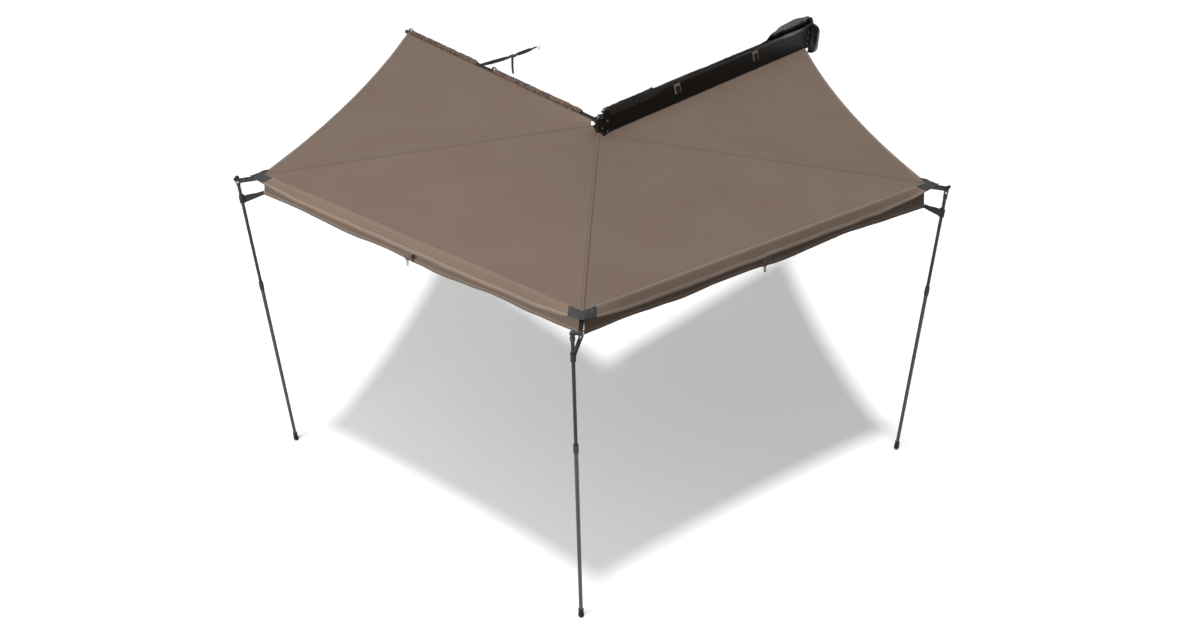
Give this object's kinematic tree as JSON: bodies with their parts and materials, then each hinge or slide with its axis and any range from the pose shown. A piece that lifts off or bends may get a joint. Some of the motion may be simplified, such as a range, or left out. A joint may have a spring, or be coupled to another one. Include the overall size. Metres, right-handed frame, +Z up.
{
  "type": "vehicle side awning",
  "caption": "Fan-folding side awning: a wall board with an end hinge, arms that swing round it under a panelled canopy, and telescopic folding poles.",
  "frame": {"origin": "middle of the backing board's back face, where the board meets its rack brackets", "axes": "+X along the board away from the hinge, +Y out of the board's back, +Z up"},
  "size_m": [4.1483, 4.0457, 2.1403],
  "materials": {
    "board": "black anodised",
    "casting": "black powder coat on cast aluminium",
    "arm_tube": "black anodised",
    "pole_tube": "dark grey anodised",
    "fastener": "stainless",
    "plastic": "moulded nylon",
    "rubber": "matt",
    "canopy": "coated polyester and cotton canvas",
    "sleeve": "light gathered canvas",
    "patch": "coated reinforcing cloth",
    "webbing": "woven webbing",
    "tan_webbing": "woven webbing",
    "cover": "coated cover cloth with a slight sheen"
  },
  "bodies": {
    "board": {"backing_board": "board", "board_end_cap": "plastic", "cover_flap": "cover", "cover_end_pouch": "cover", "retaining_strap_1": "tan_webbing", "retaining_strap_2": "tan_webbing", "retaining_buckle_1": "plastic", "retaining_buckle_2": "plastic", "hinge_bracket": "casting", "hinge_pin": "fastener"},
    "arm_1": {"arm_1_knuckle": "casting", "arm_1_tube": "arm_tube", "arm_1_tip": "casting", "pole_1_pivot_bolt": "fastener", "canopy_panel_1": "canopy", "corner_patch_1": "patch", "pole_1_strap": "webbing"},
    "arm_2": {"arm_2_knuckle": "casting", "arm_2_tube": "arm_tube", "arm_2_tip": "casting", "pole_2_pivot_bolt": "fastener", "canopy_panel_2": "canopy", "corner_patch_2": "patch", "pole_2_strap": "webbing", "valance_1": "canopy", "edge_tab_1": "canopy"},
    "arm_3": {"arm_3_knuckle": "casting", "arm_3_tube": "arm_tube", "arm_3_tip": "casting", "pole_3_pivot_bolt": "fastener", "canopy_panel_3": "canopy", "corner_patch_3": "patch", "pole_3_strap": "webbing", "valance_2": "canopy", "edge_tab_2": "canopy"},
    "arm_4": {"arm_4_knuckle": "casting", "arm_4_tube": "arm_tube", "arm_4_tip_clip": "plastic", "arm_4_inner_clip": "plastic", "arm_sleeve_inner": "sleeve", "arm_sleeve_outer": "sleeve", "canopy_panel_4": "canopy", "tie_strap": "webbing", "tie_buckle": "plastic", "tie_hook": "fastener"},
    "pole_1": {"pole_1_head": "casting", "pole_1_upper_tube": "pole_tube"},
    "pole_2": {"pole_2_head": "casting", "pole_2_upper_tube": "pole_tube"},
    "pole_3": {"pole_3_head": "casting", "pole_3_upper_tube": "pole_tube"},
    "pole_1_lower": {"pole_1_lower_tube": "pole_tube", "pole_1_foot": "rubber"},
    "pole_2_lower": {"pole_2_lower_tube": "pole_tube", "pole_2_foot": "rubber"},
    "pole_3_lower": {"pole_3_lower_tube": "pole_tube", "pole_3_foot": "rubber"},
    "lock_1": {"pole_1_twist_lock": "plastic"},
    "lock_2": {"pole_2_twist_lock": "plastic"},
    "lock_3": {"pole_3_twist_lock": "plastic"}
  },
  "joints": [
    {"name": "fold_1", "type": "hinge", "parent": "board", "child": "arm_1", "pos_m": [-1.12, -0.053, -0.054], "axis": [0, 0, 1], "range_deg": [0, 64], "deforming": ["canopy_panel_1", "corner_patch_1"]},
    {"name": "fold_2", "type": "hinge", "parent": "arm_1", "child": "arm_2", "pos_m": [-1.12, -0.053, -0.018], "axis": [0, 0, 1], "range_deg": [0, 72], "deforming": ["canopy_panel_2", "corner_patch_2", "valance_1", "edge_tab_1"]},
    {"name": "fold_3", "type": "hinge", "parent": "arm_2", "child": "arm_3", "pos_m": [-1.12, -0.053, 0.018], "axis": [0, 0, 1], "range_deg": [0, 70], "deforming": ["canopy_panel_3", "corner_patch_3", "valance_2", "edge_tab_2"]},
    {"name": "fold_4", "type": "hinge", "parent": "arm_3", "child": "arm_4", "pos_m": [-1.12, -0.053, 0.054], "axis": [0, 0, 1], "range_deg": [0, 66.5], "deforming": ["canopy_panel_4"]},
    {"name": "pole_fold_1", "type": "hinge", "parent": "arm_1", "child": "pole_1", "pos_m": [-0.24407, -1.93332, -0.054], "axis": [0.8988, 0.4384, 0], "range_deg": [0, 90], "deforming": ["pole_1_strap"]},
    {"name": "pole_fold_2", "type": "hinge", "parent": "arm_2", "child": "pole_2", "pos_m": [-2.66495, -1.4935, -0.018], "axis": [0.6947, -0.7193, 0], "range_deg": [0, 90], "deforming": ["pole_2_strap"]},
    {"name": "pole_fold_3", "type": "hinge", "parent": "arm_3", "child": "pole_3", "pos_m": [-3.03619, 0.92275, 0.018], "axis": [-0.4384, -0.8988, 0], "range_deg": [0, 90], "deforming": ["pole_3_strap"]},
    {"name": "pole_slide_1", "type": "slide", "parent": "pole_1", "child": "pole_1_lower", "axis": [0, 0, -1], "range_m": [-0.46, 0.1]},
    {"name": "pole_slide_2", "type": "slide", "parent": "pole_2", "child": "pole_2_lower", "axis": [0, 0, -1], "range_m": [-0.46, 0.1]},
    {"name": "pole_slide_3", "type": "slide", "parent": "pole_3", "child": "pole_3_lower", "axis": [0, 0, -1], "range_m": [-0.46, 0.1]},
    {"name": "lock_twist_1", "type": "hinge", "parent": "pole_1_lower", "child": "lock_1", "pos_m": [-0.24407, -1.93332, -0.715], "axis": [0, 0, 1], "range_deg": [0, 120]},
    {"name": "lock_twist_2", "type": "hinge", "parent": "pole_2_lower", "child": "lock_2", "pos_m": [-2.66495, -1.4935, -0.715], "axis": [0, 0, 1], "range_deg": [0, 120]},
    {"name": "lock_twist_3", "type": "hinge", "parent": "pole_3_lower", "child": "lock_3", "pos_m": [-3.03619, 0.92275, -0.715], "axis": [0, 0, 1], "range_deg": [0, 120]}
  ],
  "couplings": [
    {"joint": "fold_2", "follows": "fold_1", "ratio": 1.125},
    {"joint": "fold_3", "follows": "fold_1", "ratio": 1.0938},
    {"joint": "fold_4", "follows": "fold_1", "ratio": 1.0391}
  ]
}
